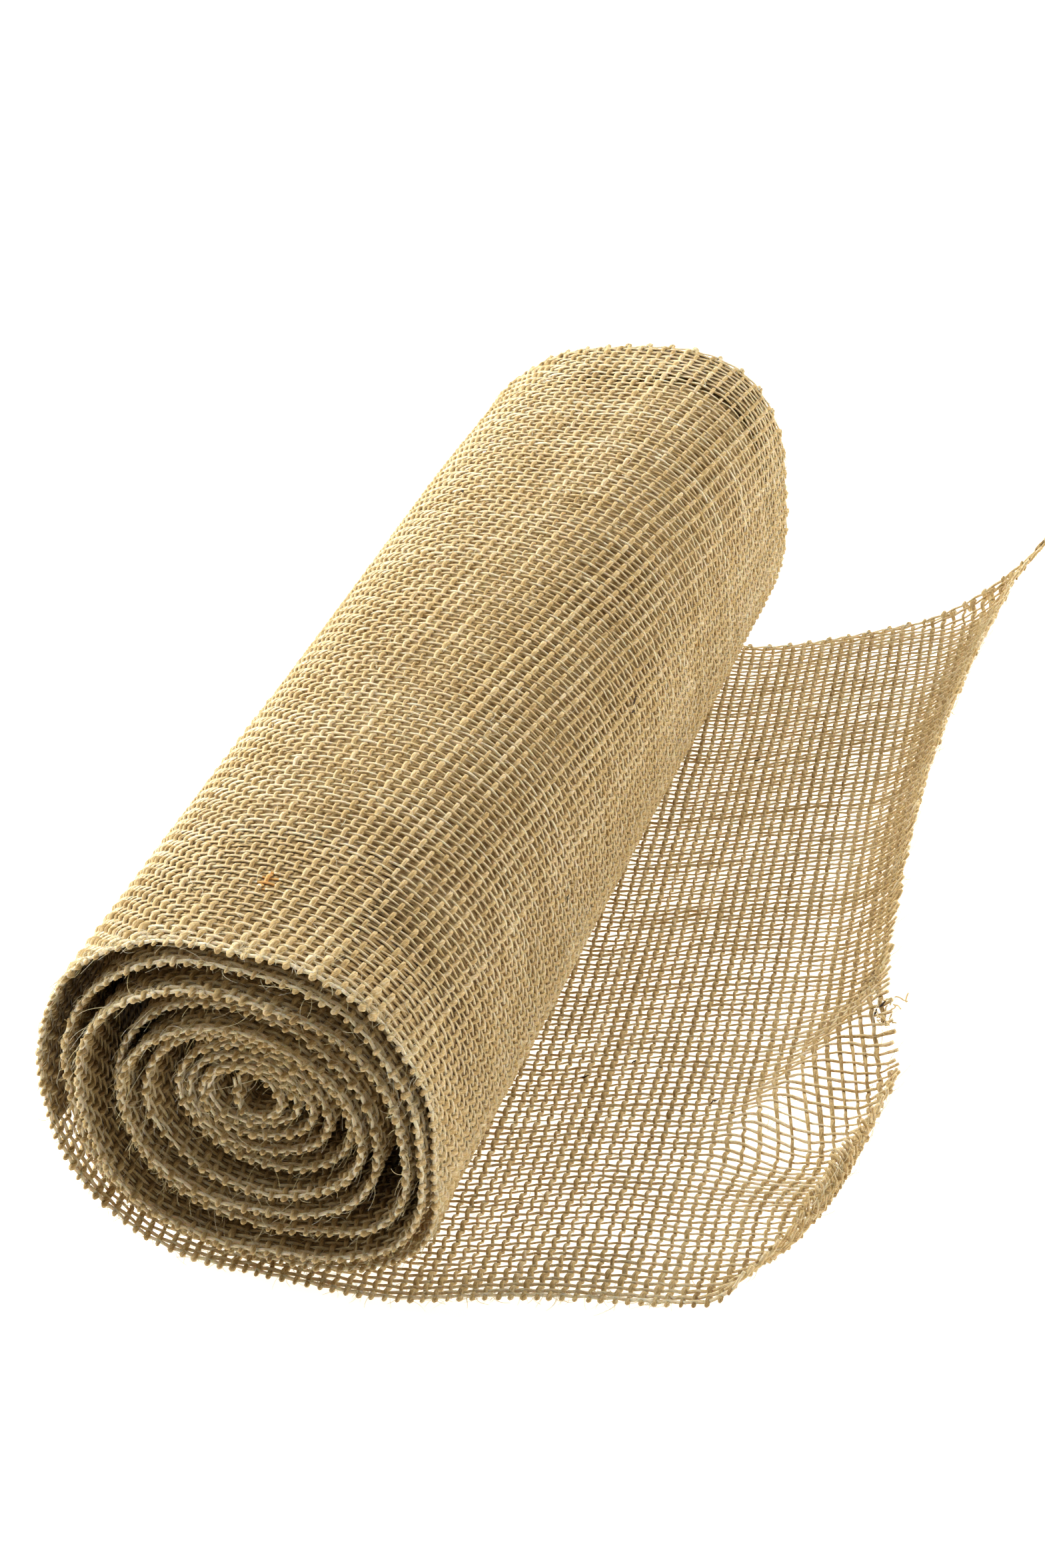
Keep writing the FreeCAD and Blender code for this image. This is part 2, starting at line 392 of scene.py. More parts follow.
# How many sides a yarn's tube has, and how wide and how thick it is once pressed.
WEFT_SIDES = 5
WARP_SIDES = 4
WEFT_PRESS = (1.06, 0.92)
WARP_PRESS = (1.1, 0.9)

# How much thicker weft and warp yarns are near the edges and near the cut end, how far from these that
# starts and is complete, and how far the cut warp yarns stand out.
EDGE_BULK = (22, 3)
CUT_BULK = (26, 9)
WEFT_SWELL = (0.38, 0.12)
WARP_SWELL = (0.28, 0.08)
FRAY_SWELL = 0.25
BACK_EDGE_SWELL = 0.3
FRAY = (1.2, 2.0)

# Tones are darker below 0 and paler above it. A tone above STAIN_TONE is orange.
WEFT_TONE = -0.3
# Painted shade: the weft yarns of the tail are darker, for the shade the tail lies in beside the roll.
TAIL_WEFT_SHADE = -0.5
WARP_TONE = 1.9
# The outermost warp ends are paler, partly their own colour and partly a painted highlight where the edges
# catch the light.
EDGE_END_PALE_AND_HIGHLIGHT = 1.5
# Painted shade: the yarns of the turns inside the roll, away from the front edge, are darker.
INSIDE_SHADE = 3.0
CUT_BROWN = 1.6
MAT_TONE = -0.5
# Painted light: the sheet just under the outermost turn is paler.
UNDER_LIGHT = 2.5
FIBRE_TONE = 1.5
SNARL_TONE = 0.5
STAIN_TONE = 9.0
STAIN = (-161, -124)
STAIN_SIZE = (2.2, 3.2)

# Inside the roll, only the two edges of the ribbon are made of yarns, over a sheet that is nearly as
# wide as the ribbon.
FRONT_ZONE = 24
BACK_ZONE = 17
SHEET_FRONT_MARGIN = 2.5
SHEET_BACK_MARGIN = 1.5
SHEET_STEP = 2.5
SHEET_ROWS = 72
TURN_1_END = -TURN_DEPTH[1]

# Painted light: the sheet is paler where it shows through the outermost turn: how many turns in that
# ends, and how far behind the front edge it starts and is complete.
UNDER_TURN = 2.1
UNDER_FROM = (25, 50)

# The outermost turn's edges are matted inside: the part, from where to where into the roll, and how
# far behind the front edge.
MATS = [("left", 66, 124, 46), ("top", 124, 186, 46), ("right", 186, 250, FRONT_ZONE)]
MAT_DEPTHS = (0.2, 0.4)
MAT_MARGINS = (1.8, 1.2)
MAT_ROWS = 24
MAT_STEP = 3

rng = np.random.default_rng(5)

# Places of the warp ends across the ribbon, closer together in the two woven edges.
edge_ends = EDGE - FIRST_END - EDGE_PITCH * np.arange(EDGE_ENDS)
inner_count = int(2 * edge_ends[-1] / END_PITCH)
inner_ends = np.linspace(-edge_ends[-1], edge_ends[-1], inner_count + 1)[1:-1]
inner_ends = inner_ends + rng.normal(0, PLACE_SPREAD, len(inner_ends))
ENDS = np.concatenate([-edge_ends, inner_ends, edge_ends[::-1]])
LOOP_START = ENDS[-1] + LOOP_REACH

LAST_PICK_AT = cut_along(np.array([LAST_PICK_ACROSS]))[0]
first_pick = int((RIBBON_START - SKEW * EDGE) / PICK)
last_pick = int((LAST_PICK_AT + SKEW * EDGE) / PICK)
pick_numbers = np.arange(first_pick, last_pick + 1)
PICKS = PICK * pick_numbers + rng.normal(0, PLACE_SPREAD, len(pick_numbers))
pick_size = np.exp(rng.normal(0, PICK_SPREAD, len(PICKS)))
pick_tone = rng.normal(0, 1, len(PICKS))
end_size = np.exp(rng.normal(0, END_SPREAD, len(ENDS)))
end_tone = rng.normal(0, 1, len(ENDS))

drift_along = ripples(21, 260)
drift_across = ripples(22, 60)
pick_wander = ripples(23, 24)
end_wander = ripples(24, 20)
slub = ripples(25, 9)
long_slub = ripples(26, 32)

# Past the crease the weave was pulled open: how far its yarns moved across and along.
OPENED_ACROSS = [-150, -125, -100, -72, -45, -15]
SHIFT_ACROSS = [0, -5, -9, 1, 10, 0]
SHIFT_ALONG = [0, 4, 8, 1, -7, 0]
OPENED_FROM = (-9, 10)
OPENED_DOWN = (38, 72)


def on_cloth(a, b):
    """The ribbon's own coordinates of a place in the weave, after its skew and drift."""
    along = a - SKEW * b + DRIFT_ALONG * drift_along(a, b)
    edge_hold = 1 - smoothstep(np.abs(b), EDGE - 12, EDGE)
    past, down = beside(CREASE, np.interp(along, tail_run, tail_x), b)
    opened = smoothstep(past, *OPENED_FROM) * (1 - smoothstep(down, *OPENED_DOWN))
    across = b + DRIFT_ACROSS * drift_across(a, b) * edge_hold
    across = across + opened * through(b, OPENED_ACROSS, SHIFT_ACROSS)
    return along + opened * through(b, OPENED_ACROSS, SHIFT_ALONG), across


def near_edges(b):
    """1 at the front edge, less at the back edge, and 0 between them."""
    reach = [EDGE - distance for distance in EDGE_BULK]
    return smoothstep(-b, *reach) + BACK_EDGE_SWELL * smoothstep(b, *reach)


def near_cut(along, across):
    """1 at the cut end and 0 away from it."""
    return smoothstep(along, *[cut_along(across) - distance for distance in CUT_BULK])


def inside_shade_and_cut_brown(along, across):
    """How much darker the yarns are: painted shade on the turns inside the roll behind its front end, and a
    darker brown along the cut end.
    """
    inside = smoothstep(-along, -TURN_1_END, 15 - TURN_1_END) * smoothstep(EDGE + across, 1.5, 9)
    return INSIDE_SHADE * inside + CUT_BROWN * near_cut(along, across)


def stained(along, across):
    """Far above STAIN_TONE where the orange stain is."""
    off_along, off_across = (along - STAIN[0]) / STAIN_SIZE[0], (across - STAIN[1]) / STAIN_SIZE[1]
    return (STAIN_TONE + 3) * (off_along**2 + off_across**2 < 1)


class Yarns:
    """Tubes and sheets, kept as arrays until the pieces are cut from them."""

    def __init__(self):
        self.points, self.fibre, self.tone, self.count = [], [], [], 0
        self.faces = {}

    def add_points(self, points, fibre, tone):
        first = self.count
        self.points.append(points.reshape(-1, 3))
        self.fibre.append(fibre.reshape(-1, 3))
        self.tone.append(tone.reshape(-1))
        self.count += self.points[-1].shape[0]
        return first

    def add_faces(self, kind, faces, piece):
        """Faces of one kind of material, with the number of the piece that each belongs to."""
        self.faces.setdefault((kind, faces.shape[1]), []).append((faces, piece))

    def add_tubes(self, centre, normal, wide, thick, sides, piece, tone, lay, kind="yarn"):
        """Rings round rows of centre points. piece is the piece of each stretch between two rings."""
        rows, rings = centre.shape[:2]
        on = np.gradient(centre, axis=1)
        on = on / np.maximum(np.linalg.norm(on, axis=-1, keepdims=True), 1e-9)
        side = np.cross(on, normal)
        side = side / np.maximum(np.linalg.norm(side, axis=-1, keepdims=True), 1e-9)
        up = np.cross(side, on)
        angle = 2 * pi * np.arange(sides) / sides
        round_x = (wide[..., None] * np.cos(angle))[..., None] * side[:, :, None]
        round_z = (thick[..., None] * np.sin(angle))[..., None] * up[:, :, None]
        steps = np.linalg.norm(np.diff(centre, axis=1), axis=-1)
        length = np.concatenate([np.zeros((rows, 1)), np.cumsum(steps, axis=1)], axis=1)[..., None]
        twist = angle + length * YARN_TWIST
        fibre = [np.cos(twist) * 0.6, np.sin(twist) * 0.6, length / 7 + lay[:, None, None] + 0 * twist]
        first = self.add_points(
            centre[:, :, None] + round_x + round_z, np.stack(fibre, -1), np.repeat(tone[..., None], sides, -1)
        )
        first = first + (np.arange(rows)[:, None] * rings + np.arange(rings)) * sides
        around = np.arange(sides)
        next_one = (around + 1) % sides
        near, far = first[:, :-1, None], first[:, 1:, None]
        quads = np.stack([near + around, far + around, far + next_one, near + next_one], -1)
        keep = piece >= 0
        self.add_faces(kind, quads[keep].reshape(-1, 4), np.repeat(piece[keep], sides))
        none = np.full((rows, 1), -1)
        before, after = np.concatenate([none, piece], 1), np.concatenate([piece, none], 1)
        opens, closes = (before != after) & (after >= 0), (before != after) & (before >= 0)
        self.add_faces(kind, first[opens][:, None] + around, after[opens])
        self.add_faces(kind, first[closes][:, None] + around[::-1], before[closes])


# ------ the pieces

# Where each part of the outermost turn starts, and the last turn of each coil with the part of it
# that bends over into the next coil.
TURN_1_PARTS = {"bottom": 0, "left": 62, "top": 124, "right": 186, "crossover": 250}
CROSSOVER_TURNS = (3, 5, 8)
CROSSOVER_START = 0.79

# The fold lines of the two corners in plan, and how far short of a fold line the cloth already belongs to the
# corner's piece.
NEAR_FOLD = [(98, -150), (129, -109)]
FAR_FOLD = [(112, 105), (98, 150)]
FOLD_REACH = 5.0

names = [f"turn_01_{part}" for part in TURN_1_PARTS]
for number in range(2, TURNS + 1):
    names.append(f"turn_{number:02d}_cloth")
    if number in CROSSOVER_TURNS:
        names.append(f"turn_{number:02d}_crossover")
names += ["start_flap_cloth", "tail_foot", "tail_middle", "tail_outer"]
names += ["near_corner_cloth", "far_corner_cloth"]
NUMBER = {name: i for i, name in enumerate(names)}


def piece_at(along, across):
    """The number of the piece that a place on the ribbon belongs to."""
    turn = turn_at(along)
    piece = np.full(along.shape, NUMBER["start_flap_cloth"])
    for number in range(TURNS, 1, -1):
        piece[turn < number] = NUMBER[f"turn_{number:02d}_cloth"]
        if number in CROSSOVER_TURNS:
            crossing = (turn < number) & (turn > number - 1 + CROSSOVER_START)
            piece[crossing] = NUMBER[f"turn_{number:02d}_crossover"]
    starts = [*TURN_1_PARTS.values(), -TURN_1_END]
    for part, start, end in zip(TURN_1_PARTS, starts, starts[1:]):
        piece[(along <= -start) & (along > -end)] = NUMBER[f"turn_01_{part}"]
    piece[along > 0] = NUMBER["tail_foot"]
    piece[along > along_at((FOOT[0] + LIFT[0]) / 2)] = NUMBER["tail_middle"]
    piece[along > along_at((LIFT[0] + CURL[0]) / 2)] = NUMBER["tail_outer"]
    x = np.interp(along, tail_run, tail_x)
    for fold, name in ((NEAR_FOLD, "near_corner_cloth"), (FAR_FOLD, "far_corner_cloth")):
        piece[(along > 0) & (beside(fold, x, across)[0] > -FOLD_REACH)] = NUMBER[name]
    return piece


# ------ making the yarns

def stretches(along, across, inside, past_cut=0):
    """The piece of each stretch between two rings of a yarn, or -1 where none is made."""
    along, across = [(values[:, 1:] + values[:, :-1]) / 2 for values in (along, across)]
    piece = piece_at(along, across)
    piece[(along > cut_along(across) + past_cut) | (along < RIBBON_START)] = -1
    piece[(along < TURN_1_END) != inside] = -1
    return piece


def swell(b, along, across, amounts):
    """How many times thicker yarns are there because of the edges and the cut end."""
    return 1 + np.maximum(amounts[0] * near_edges(b), amounts[1] * near_cut(along, across))


def weft_yarns(yarns, rows, b, inside):
    """Weft yarns of those rows over the places b, either inside the outermost turn or from it on."""
    number = pick_numbers[rows][:, None]
    wander_row, slub_row, long_row = [number * row for row in WEFT_ROWS]
    b = np.repeat(b[None], len(rows), axis=0)
    a = PICKS[rows][:, None] + PICK_WANDER * pick_wander(b, wander_row)
    # At the back edge each pick joins its neighbour in a tight loop.
    turning = np.clip((b - LOOP_START) / LOOP_RADIUS, 0, 1)
    joining = (PICK / 2 - LOOP_RADIUS) * smoothstep(b, EDGE - LOOP_JOIN[0], EDGE - LOOP_JOIN[1])
    joining = joining + LOOP_RADIUS * (1 - np.sqrt(1 - turning**2))
    a = a + np.where(number % 2 == 0, 1, -1) * joining
    along, across = on_cloth(a, b)
    crossing = np.interp(b, ENDS, np.arange(len(ENDS)))
    wave = WEFT_WAVE * np.cos(pi * (crossing + number)) * (np.abs(b) < ENDS[-1])
    size = 1 + SLUB * slub(b, slub_row) + SLUB * long_slub(b, long_row)
    size = size * pick_size[rows][:, None] * swell(b, along, across, WEFT_SWELL)
    size = size * (1 - NUB_TAPER * smoothstep(-b, EDGE + 0.6 * NUB_LENGTH, EDGE + NUB_LENGTH))
    normal = facing(along, across)
    centre = surface(along, across) + normal * wave[..., None]
    tone = 0.5 * pick_tone[rows][:, None] + 0.5 * long_slub(b + 500, long_row) + stained(along, across)
    # Painted shade: wefts are darker in the tail and on the turns inside the roll.
    tone = tone + WEFT_TONE + TAIL_WEFT_SHADE * smoothstep(along, -20, 20) - inside_shade_and_cut_brown(along, across)
    piece = stretches(along, across, inside)
    wide, thick = [WEFT_RADIUS * size * press for press in WEFT_PRESS]
    lay = number[:, 0] * WEFT_LAY
    yarns.add_tubes(centre, normal, wide, thick, WEFT_SIDES, piece, tone, lay)


def warp_yarns(yarns, rows, a, inside):
    """Warp yarns of those rows over the places a, either inside the outermost turn or from it on."""
    number = rows[:, None]
    wander_row, slub_row, long_row = [number * row for row in WARP_ROWS]
    a = np.repeat(a[None], len(rows), axis=0)
    b = ENDS[rows][:, None]
    b = b + END_WANDER * end_wander(a, wander_row) * (1 - smoothstep(np.abs(b), EDGE - 9, EDGE - 5))
    along, across = on_cloth(a, b)
    crossing = np.interp(a, PICKS, pick_numbers)
    wave = -WARP_WAVE * np.cos(pi * (crossing + number))
    size = end_size[rows][:, None] * (1 + SLUB * slub(a, slub_row))
    size = size * swell(b, along, across, WARP_SWELL)
    size = size * (1 + FRAY_SWELL * smoothstep(along, cut_along(across) - 2, cut_along(across) + 1))
    normal = facing(along, across)
    centre = surface(along, across) + normal * wave[..., None]
    tone = 0.5 * end_tone[rows][:, None] + 0.3 * long_slub(a + 900, long_row) + stained(along, across)
    outermost = (number == 0) | (number == len(ENDS) - 1)
    # Partly painted highlight on the outermost ends, and painted shade on the turns inside the roll.
    tone = tone + WARP_TONE + EDGE_END_PALE_AND_HIGHLIGHT * outermost - inside_shade_and_cut_brown(along, across)
    fray = FRAY[0] + FRAY[1] * rng.random((len(rows), 1))
    piece = stretches(along, across, inside, fray)
    wide, thick = [WARP_RADIUS * size * press for press in WARP_PRESS]
    yarns.add_tubes(centre, normal, wide, thick, WARP_SIDES, piece, tone, rows * WARP_LAY)


# Rings along a weft yarn from edge to edge, in the front zone and in the back zone.
WEFT_RINGS = (430, 31, 23)
WARP_RINGS_PER_PICK = 3
DRIFT_MARGIN = 8


def weave(yarns):
    """Every yarn of the outermost turn and the tail, and both edges of the turns inside."""
    loop = LOOP_START + LOOP_RADIUS * np.sin(np.linspace(0.35, pi / 2, 4))
    nub = -EDGE - NUB_LENGTH * np.array([1, 0.85, 0.4])
    across = np.concatenate([nub, np.linspace(-EDGE, LOOP_START, WEFT_RINGS[0]), loop])
    front = np.concatenate([nub, np.linspace(-EDGE, -EDGE + FRONT_ZONE, WEFT_RINGS[1])])
    back = np.concatenate([np.linspace(EDGE - BACK_ZONE, LOOP_START, WEFT_RINGS[2]), loop])
    margin = SKEW * EDGE + DRIFT_MARGIN
    weft_yarns(yarns, np.flatnonzero(PICKS > TURN_1_END - margin), across, inside=False)
    for zone in (front, back):
        weft_yarns(yarns, np.flatnonzero(PICKS < TURN_1_END + margin), zone, inside=True)
    step = PICK / WARP_RINGS_PER_PICK
    outermost = np.arange(TURN_1_END - margin, PICKS[-1] + 2 * PICK, step)
    warp_yarns(yarns, np.arange(len(ENDS)), outermost, inside=False)
    edges = np.flatnonzero((ENDS < -EDGE + FRONT_ZONE) | (ENDS > EDGE - BACK_ZONE))
    warp_yarns(yarns, edges, np.arange(RIBBON_START - margin, TURN_1_END + margin, step), inside=True)


def inner_sheet(yarns):
    """The sheet inside the roll, which shows only in specks between the yarns, and the matted edges of
    the outermost turn."""
    along = np.arange(RIBBON_START, TURN_1_END + SHEET_STEP, SHEET_STEP).clip(max=TURN_1_END)
    add_cloth(yarns, along, np.linspace(-EDGE + SHEET_FRONT_MARGIN, EDGE - SHEET_BACK_MARGIN, SHEET_ROWS))
    for part, start, end, depth in MATS:
        matted = np.linspace(-end, -start, MAT_ROWS)
        piece = NUMBER[f"turn_01_{part}"]
        front = np.linspace(-EDGE + MAT_MARGINS[0], -EDGE + depth, depth // MAT_STEP)
        back = np.linspace(EDGE - BACK_ZONE, EDGE - MAT_MARGINS[1], BACK_ZONE // MAT_STEP + 1)
        add_mat(yarns, matted, front, piece)
        add_mat(yarns, matted, back, piece)


def lattice_at(along, across):
    """The numbers of the pick and of the end at a place, for the weave drawn on a sheet."""
    return np.stack([(along + SKEW * across) / PICK, across / END_PITCH, 0 * along], -1)


def add_mat(yarns, along, across, piece):
    """A thin closed layer of matted fibres just inside the yarns."""
    along, across = np.meshgrid(along, across, indexing="ij")
    lattice = lattice_at(along, across)
    out, middle = facing(along, across), surface(along, across)
    layers = np.stack([middle - depth * out for depth in MAT_DEPTHS])
    first = yarns.add_points(layers, np.stack([lattice, lattice]), np.full(layers.shape[:3], MAT_TONE))
    top, under = first + np.arange(2 * along.size).reshape(2, *along.shape)
    quads = np.stack([top[:-1, :-1], top[:-1, 1:], top[1:, 1:], top[1:, :-1]], -1).reshape(-1, 4)
    behind = np.stack([under[:-1, :-1], under[1:, :-1], under[1:, 1:], under[:-1, 1:]], -1).reshape(-1, 4)
    rims = [np.concatenate([g[0, :-1], g[:-1, -1], g[-1, :0:-1], g[:0:-1, 0]]) for g in (top, under)]
    rim = np.stack([rims[0], rims[1], np.roll(rims[1], -1), np.roll(rims[0], -1)], -1)
    faces = np.concatenate([quads, behind, rim])
    yarns.add_faces("cloth", faces, np.full(len(faces), piece))


def add_cloth(yarns, along, across):
    """A sheet with the weave drawn on it, with painted light in the turn that shows through the outermost
    one.
    """
    along, across = np.meshgrid(along, across, indexing="ij")
    # Painted light on the sheet of the turn just under the outermost one, away from the front edge.
    lit_under_share = (turn_at(along) < UNDER_TURN) * smoothstep(across, *[reach - EDGE for reach in UNDER_FROM])
    first = yarns.add_points(surface(along, across), lattice_at(along, across), UNDER_LIGHT * lit_under_share)
    index = first + np.arange(along.size).reshape(along.shape)
    quads = np.stack([index[:-1, :-1], index[:-1, 1:], index[1:, 1:], index[1:, :-1]], -1)
    centre = (along[1:, 1:] + along[:-1, :-1]) / 2, (across[1:, 1:] + across[:-1, :-1]) / 2
    yarns.add_faces("cloth", quads.reshape(-1, 4), piece_at(*centre).reshape(-1))


# Loose fibres of each place: how many, how long, and how far they stand out.
FACE_FIBRES = (3600, 3.0, 0.4)
FRONT_FIBRES = (5200, 2.6, 0.6)
BACK_FIBRES = (2000, 2.6, 0.6)
CUT_FIBRES = (500, 3.5, 0.8)
LONG_FIBRES = (60, 7.5, 0.8)
FIBRE_RINGS = 6
FIBRE_RADIUS = 0.065
LOWEST_FIBRE = -0.2

SNARL_ALONG = 134
SNARL_ACROSS = -53
SNARL_THREADS = 9
SNARL_RINGS = 16
SNARL_CURL = 0.42
SNARL_DRIFT = 0.16
SNARL_RADIUS = 0.2

# Bits of bark caught in the cloth: along, across, length and direction in degrees from across.
BARK = [
    (-216, 6, 3.4, 12), (-217.5, 3, 2.2, -20), (-234, -57, 2.4, 60), (61, 79, 2.2, 70),
    (57, -69, 2.6, 80), (69, -64, 1.6, 20), (96, -81, 2.4, 50), (133, -51, 3.0, 60),
    (131, -53, 2.0, 10), (-140, 60, 1.5, 30), (-90, -30, 1.8, 75), (-30, 90, 2.0, 15),
]
BARK_OFFSET = 1.25
BARK_HALF_WIDTH = 0.42


def loose_fibres(yarns, along, across, length, seed, outward):
    """Fine fibres that stand out of the yarns at those places, each a thin bent tube."""
    rng = np.random.default_rng(seed)
    count, rings = len(along), FIBRE_RINGS
    normal = facing(along, across)
    out = normal * np.sign(rng.uniform(-1, 2.2, count))[:, None]
    base = surface(along, across) + out * 0.5
    lie = np.cross(normal, rng.normal(0, 1, (count, 3)))
    lie = lie / np.linalg.norm(lie, axis=-1, keepdims=True)
    bend = np.cross(lie, normal) * rng.normal(0, 0.7, (count, 1))
    lift = out * (outward * rng.uniform(0.1, 1.2, (count, 1)))
    t = np.linspace(0, 1, rings)[None, :, None]
    length = (length * rng.uniform(0.5, 1.5, count))[:, None, None]
    away = lie[:, None] * t + lift[:, None] * t + (bend - lift * 0.6)[:, None] * t**2
    path = base[:, None] + length * away
    path[..., 2] = np.maximum(path[..., 2], LOWEST_FIBRE)
    radius = np.repeat(FIBRE_RADIUS * np.linspace(1.1, 0.5, rings)[None], count, axis=0)
    radius = radius * rng.uniform(0.7, 1.4, (count, 1))
    piece = np.repeat(piece_at(along, across)[:, None], rings - 1, axis=1)
    up = np.repeat(normal[:, None], rings, axis=1)
    tone = np.repeat(rng.normal(FIBRE_TONE, 1, (count, 1)), rings, axis=1)
    yarns.add_tubes(path, up, radius, radius, 3, piece, tone, rng.uniform(0, 50, count))


def add_loose_fibres(yarns):
    """Fine fibres all over the outside, most of them along the edges, and a few long ones at the front."""
    rng = np.random.default_rng(31)
    count, length, outward = FACE_FIBRES
    along = rng.uniform(TURN_1_END, along_at(112), count)
    loose_fibres(yarns, along, rng.uniform(-EDGE, EDGE, count), length, 32, outward)
    for edge, (count, length, outward), seed in ((-EDGE, FRONT_FIBRES, 33), (EDGE, BACK_FIBRES, 34)):
        along = rng.uniform(RIBBON_START, along_at(105), count)
        across = edge - np.sign(edge) * rng.exponential(2.0, count)
        loose_fibres(yarns, along, across, length, seed, outward)
    count, length, outward = CUT_FIBRES
    across = rng.uniform(-EDGE, EDGE, count)
    loose_fibres(yarns, cut_along(across) - rng.exponential(2.0, count), across, length, 35, outward)
    count, length, outward = LONG_FIBRES
    along = rng.uniform(RIBBON_START, TURN_1_END, count)
    loose_fibres(yarns, along, np.full(count, -EDGE + 0.5), length, 36, outward)


def snarl(yarns):
    """A small snarl of curly threads at the cut edge."""
    rng = np.random.default_rng(41)
    count, rings = SNARL_THREADS, SNARL_RINGS
    along, across = np.full(count, SNARL_ALONG), SNARL_ACROSS + rng.normal(0, 3, count)
    walk = np.cumsum(rng.normal(0, 1, (count, rings, 3)) * SNARL_CURL, axis=1)
    walk = walk + np.cumsum(rng.normal(0, SNARL_DRIFT, (count, 1, 3)) + 0 * walk, axis=1)
    smooth = (walk[:, :-2] + walk[:, 1:-1] + walk[:, 2:]) / 3
    path = surface(along, across)[:, None] + smooth + [0, 0, 0.8]
    radius = np.full((count, rings - 2), SNARL_RADIUS)
    piece = np.repeat(piece_at(along, across)[:, None], rings - 3, axis=1)
    up = np.zeros_like(path) + [0.1, 0.1, 1.0]
    tone = np.full((count, rings - 2), SNARL_TONE)
    yarns.add_tubes(path, up, radius, radius, 4, piece, tone, rng.uniform(0, 50, count))


def bark_bits(yarns):
    """Flat dark scraps on the side of the cloth that shows."""
    for seed, (along, across, length, turn) in enumerate(BARK):
        rng = np.random.default_rng(seed)
        t = np.linspace(-0.5, 0.5, 6) * length
        place = along + t * sin(radians(turn)), across + t * cos(radians(turn))
        normal = facing(*place)
        side = -1 if along > 0 else 1
        path = surface(*place) + normal * (side * BARK_OFFSET + 0.1 * rng.normal(0, 1, (6, 1)))
        wide = BARK_HALF_WIDTH * np.array([0.2, 0.8, 1, 0.9, 0.6, 0.15]) * rng.uniform(0.7, 1.2, 6)
        piece = np.full((1, 5), piece_at(np.array([along]), np.array([across]))[0])
        yarns.add_tubes(path[None], normal[None], wide[None], 0.4 * wide[None], 5, piece, np.zeros((1, 6)),
                        np.array([seed]), "bark")


# ------ materials

# The first colour is painted shade, used only on the sheets between the yarns drawn there.
GAP_SHADE_JUTE = (0.08, 0.045, 0.015)
DARK_JUTE = (0.25, 0.15, 0.05)
JUTE = (0.58, 0.42, 0.19)
PALE_JUTE = (0.88, 0.80, 0.61)
ORANGE_JUTE = (0.66, 0.38, 0.12)
BARK_BLACK = (0.012, 0.008, 0.006)
BARK_BROWN = (0.10, 0.06, 0.035)
GLOW_RADIUS = (1.0, 0.7, 0.3)
GLOW_DEPTH = 0.0007
TONE_SHARE = 0.07
DULL_SPECULAR = 0.25


class Nodes:
    """A material's nodes, added one call at a time."""

    def __init__(self, name):
        self.material = bpy.data.materials.new(name)
        self.material.use_nodes = True
        self.tree = self.material.node_tree
        self.shader = self.tree.nodes["Principled BSDF"]

    def add(self, kind, inputs=(), **settings):
        """A node with its settings, and inputs by name or number that are values or other sockets."""
        node = self.tree.nodes.new("ShaderNode" + kind)
        for key, value in settings.items():
            setattr(node, key, value)
        for key, value in dict(inputs).items():
            self.feed(node.inputs[key], value)
        return node

    def feed(self, socket, value):
        if isinstance(value, bpy.types.NodeSocket):
            self.tree.links.new(value, socket)
        else:
            socket.default_value = value

    def attribute(self, name, output):
        return self.add("Attribute", attribute_name=name).outputs[output]

    def maths(self, operation, first, second=0.0, third=0.0):
        return self.add("Math", {0: first, 1: second, 2: third}, operation=operation).outputs[0]

    def noise(self, vector, scale, detail=3.0, roughness=0.6):
        inputs = {"Vector": vector, "Scale": scale, "Detail": detail, "Roughness": roughness}
        return self.add("TexNoise", inputs).outputs["Fac"]

    def ramp(self, value, stops):
        ramp = self.add("ValToRGB", {"Fac": value})
        elements = ramp.color_ramp.elements
        for i, (place, colour) in enumerate(stops):
            element = elements[i] if i < 2 else elements.new(place)
            element.position = place
            element.color = (*colour, 1)
        return ramp.outputs["Color"]

    def mix(self, share, first, second):
        node = self.add("Mix", data_type="RGBA")
        self.feed(node.inputs[0], share)
        self.feed(node.inputs[6], first)
        self.feed(node.inputs[7], second)
        return node.outputs[2]

    def finish(self, colour, roughness, height=None, depth=0.0002, strength=0.5, sheen=0.0, glow=0.0):
        self.feed(self.shader.inputs["Base Color"], colour)
        self.feed(self.shader.inputs["Roughness"], roughness)
        self.shader.inputs["Sheen Weight"].default_value = sheen
        self.shader.inputs["Specular IOR Level"].default_value = DULL_SPECULAR
        self.shader.inputs["Subsurface Weight"].default_value = glow
        self.shader.inputs["Subsurface Radius"].default_value = GLOW_RADIUS
        self.shader.inputs["Subsurface Scale"].default_value = GLOW_DEPTH
        if height is not None:
            bump = self.add("Bump", {"Strength": strength, "Distance": depth, "Height": height})
            self.feed(self.shader.inputs["Normal"], bump.outputs["Normal"])
        return self.material


def yarn_material():
    """Spun jute: fibres that twist round each yarn, with pale and dark stretches."""
    n = Nodes("jute_yarn")
    fibre, tone = n.attribute("fibre", "Vector"), n.attribute("tone", "Fac")
    streaks = n.noise(fibre, 4.0, 4.0, 0.65)
    patches = n.noise(fibre, 0.9, 2.0, 0.5)
    value = n.maths("MULTIPLY_ADD", tone, TONE_SHARE, streaks)
    value = n.maths("MULTIPLY_ADD", patches, 0.35, n.maths("SUBTRACT", value, 0.16))
    colour = n.ramp(value, [(0.22, DARK_JUTE), (0.86, PALE_JUTE), (0.5, JUTE)])
    orange = n.maths("GREATER_THAN", tone, STAIN_TONE)
    colour = n.mix(orange, colour, (*ORANGE_JUTE, 1))
    roughness = n.maths("MULTIPLY_ADD", streaks, -0.2, 0.95)
    return n.finish(colour, roughness, streaks, depth=0.0003, strength=0.6, sheen=0.1, glow=0.5)


